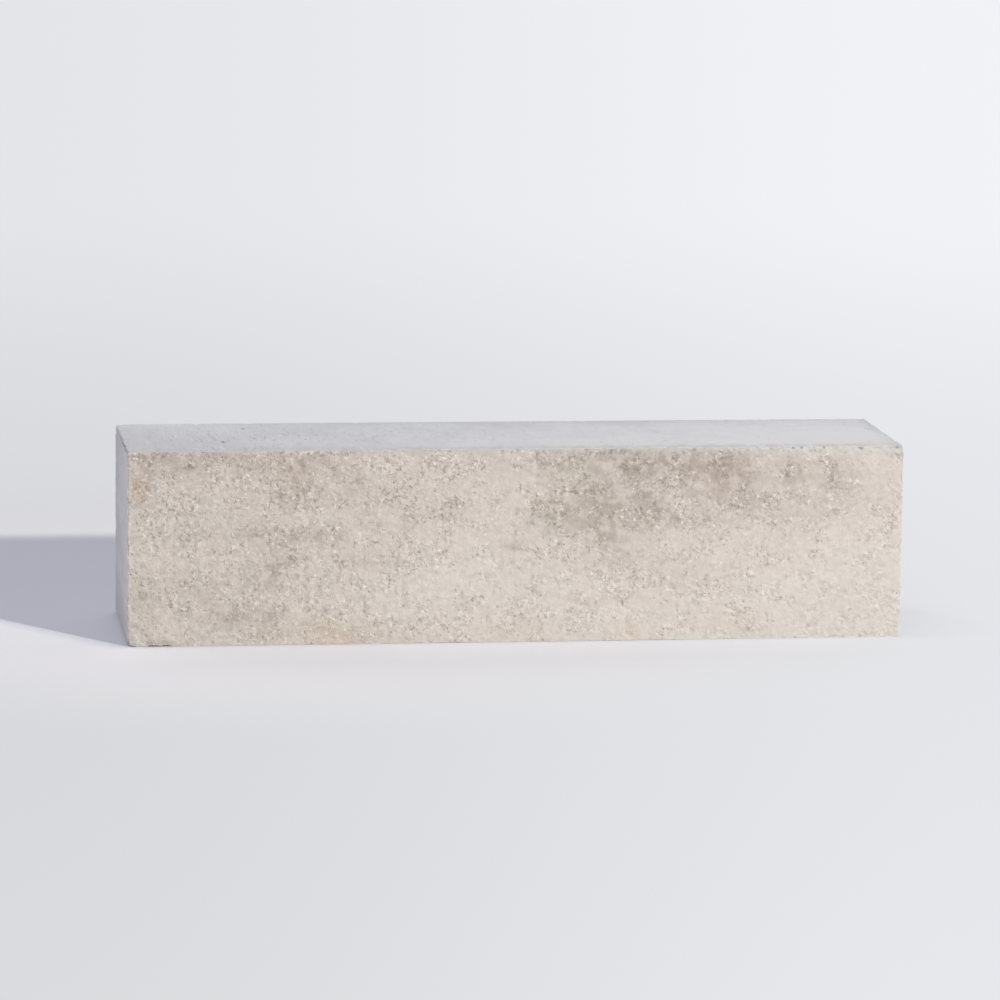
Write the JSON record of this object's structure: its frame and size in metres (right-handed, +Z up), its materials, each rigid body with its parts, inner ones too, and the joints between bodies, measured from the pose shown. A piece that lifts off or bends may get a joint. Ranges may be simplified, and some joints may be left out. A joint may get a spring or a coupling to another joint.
{
  "type": "stacking wall block",
  "caption": "Rectangular concrete block with a grainy, cloudy beige-brown face and smooth grey beds and ends, stacked in courses to build low garden walls and edgings.",
  "frame": {"origin": "middle of the bottom bed", "axes": "+X along the length, -Y out of the grainy face that shows in the wall, +Z up through the top bed"},
  "size_m": [0.6, 0.15, 0.15],
  "materials": {
    "concrete": "cast concrete, grainy beige-brown on the face and smooth light grey on the other sides"
  },
  "bodies": {
    "root": {"wall_block": "concrete"}
  },
  "joints": []
}
